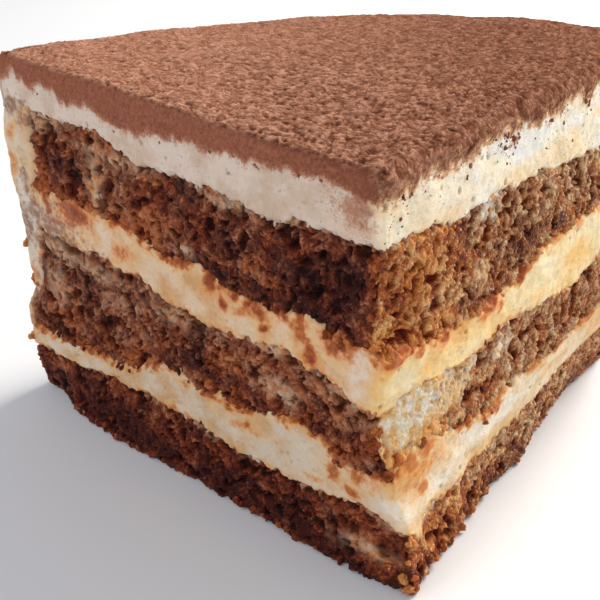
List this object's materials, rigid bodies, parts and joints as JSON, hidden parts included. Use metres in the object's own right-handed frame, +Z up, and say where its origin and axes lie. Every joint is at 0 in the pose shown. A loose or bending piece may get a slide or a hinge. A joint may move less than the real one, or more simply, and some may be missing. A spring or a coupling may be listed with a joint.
{
  "type": "tiramisu cake slice",
  "caption": "Wedge of a round tiramisu cake: coffee-soaked sponge and mascarpone cream in layers, a cream-coated rim and a cocoa-dusted top.",
  "frame": {"origin": "middle of the bounding box at the flat base the slice stands on", "axes": "+Z up, the tip where the two cut faces meet toward -Y, the curved rim of the cake toward +Y"},
  "size_m": [0.1262, 0.0944, 0.0749],
  "materials": {
    "sponge": "moist coffee-soaked crumb, dark brown with caramel-coloured edges",
    "cream": "smooth ivory mascarpone cream with fine pores, soft sheen",
    "cocoa": "dry powdery cocoa in fine clumps, matte"
  },
  "bodies": {
    "root": {"bottom_sponge": "sponge", "lower_cream": "cream", "middle_sponge": "sponge", "middle_cream": "cream", "top_sponge": "sponge", "rim_cream": "cream", "top_cream": "cream", "cocoa_dusting": "cocoa"}
  },
  "joints": []
}
